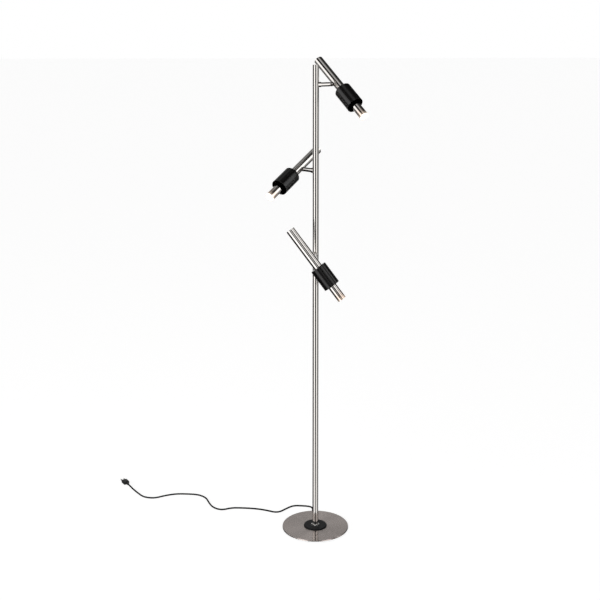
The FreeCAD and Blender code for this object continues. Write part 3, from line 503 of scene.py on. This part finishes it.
# Soft boxes as the metal sees them: azimuth from and to, elevation from and to, in
# degrees, and brightness. Azimuth 0 is towards the viewer and 90 towards +X. The boxes of
# brightness 1 behind the lamp are the white backdrop.
SOFT_BOXES = [
    (-112, -20, 1, 31, 1.45),
    (-64, -27, -36, 0, 1.75),
    (-16, 6, 4, 14, 1.20),
    (-140, -108, -14, 0, 0.40),
    (30, 58, 2, 40, 1.45),
    (58, 78, 2, 16, 0.80),
    (78, 95, 2, 44, 1.75),
    (22, 56, -34, 2, 1.45),
    (74, 118, -34, 2, 0.36),
    (-14, 14, -100, -25, 0.30),
    (-150, 30, 65, 100, 0.52),
    (105, 200, 74, 84, 0.10),
    (-200, -150, 50, 84, 0.30),
    (152, 200, -24, 10, 1.00),
    (-200, -152, -24, 10, 1.00),
    (168, 200, 10, 62, 0.36),
    (-200, -168, 10, 62, 0.36),
    (-168, -140, 10, 40, 0.30),
]
STUDIO_SHADE = 0.03
SOFT_EDGE = 3.0


def straight_view(graph):
    """1 for rays that show the background as the camera sees it, through glass as well."""
    light_path = graph.add("LightPath").outputs
    return graph.math("MAXIMUM", light_path["Is Camera Ray"],
                      light_path["Is Transmission Ray"])


def make_world():
    """White as the camera sees it; metal and gloss mirror a studio with soft boxes."""
    world = bpy.data.worlds.new("studio")
    world.use_nodes = True
    bpy.context.scene.world = world
    graph = Graph(world.node_tree)
    heading = graph.add("TexCoord").outputs["Generated"]
    parts = graph.add("SeparateXYZ", None, {0: heading}).outputs
    towards_viewer = graph.math("MULTIPLY", parts["Y"], -1.0)
    azimuth = graph.math("DEGREES", graph.math("ARCTAN2", parts["X"], towards_viewer))
    elevation = graph.math("DEGREES", graph.math("ARCSINE", parts["Z"]))

    def within(angle, low, high):
        rise = graph.ramp(angle, low - SOFT_EDGE, low + SOFT_EDGE, 0, 1)
        fall = graph.ramp(angle, high - SOFT_EDGE, high + SOFT_EDGE, 1, 0)
        return graph.math("MULTIPLY", rise, fall)

    total = STUDIO_SHADE
    for left, right, low, high, strength in SOFT_BOXES:
        patch = graph.math("MULTIPLY", within(azimuth, left, right),
                           within(elevation, low, high))
        total = graph.math("MULTIPLY_ADD", patch, strength, total)
    strength = graph.add("Mix", {"data_type": "FLOAT"},
                         {"Factor": straight_view(graph), 2: total, 3: 1.0}).outputs[0]
    background = graph.add("Background", None, {"Color": (1, 1, 1, 1), "Strength": strength})
    graph.add("OutputWorld", None, {"Surface": background.outputs[0]})


FLOOR_SIZE = 60
FLOOR_GLOW = 0.86
FLOOR_WHITE = 0.35


def make_floor():
    """White floor: the camera sees it white with the lamp's shadow, and metal looks past it."""
    mesh = bpy.data.meshes.new("floor")
    half = FLOOR_SIZE / 2
    mesh.from_pydata([(-half, -half, 0), (half, -half, 0), (half, half, 0), (-half, half, 0)],
                     [], [(0, 1, 2, 3)])
    floor = bpy.data.objects.new("floor", mesh)
    bpy.context.scene.collection.objects.link(floor)
    material, graph = new_material("floor_white")
    light_path = graph.add("LightPath").outputs
    matt = graph.add("BsdfDiffuse", None, {"Color": shade((1, 1, 1), FLOOR_WHITE)})
    glow_strength = graph.math("MULTIPLY", straight_view(graph), FLOOR_GLOW)
    glow = graph.add("Emission", None, {"Color": (1, 1, 1, 1), "Strength": glow_strength})
    solid = graph.add("AddShader", None, {0: matt.outputs[0], 1: glow.outputs[0]})
    clear = graph.add("BsdfTransparent")
    seen = graph.add("MixShader", None, {0: light_path["Is Glossy Ray"], 1: solid.outputs[0],
                                         2: clear.outputs[0]})
    graph.add("OutputMaterial", None, {"Surface": seen.outputs[0]})
    mesh.materials.append(material)


KEY_SIZE = (2.5, 2.0)
KEY_POWER = 40
KEY_PLACE = Vector((-1.6, -2.4, 3.4))
KEY_TARGET = Vector((0, 0, 0.8))


def make_key_light():
    """Large soft lamp above and in front, for a faint shadow."""
    data = bpy.data.lights.new("key_light", "AREA")
    data.shape = "RECTANGLE"
    data.size, data.size_y = KEY_SIZE
    data.energy = KEY_POWER
    lamp = bpy.data.objects.new("key_light", data)
    lamp.visible_glossy = False
    turn = (KEY_TARGET - KEY_PLACE).to_track_quat("-Z", "Y")
    lamp.matrix_world = Matrix.Translation(KEY_PLACE) @ turn.to_matrix().to_4x4()
    bpy.context.scene.collection.objects.link(lamp)


make_world()
make_floor()
make_key_light()

bpy.context.scene.view_settings.view_transform = "Standard"
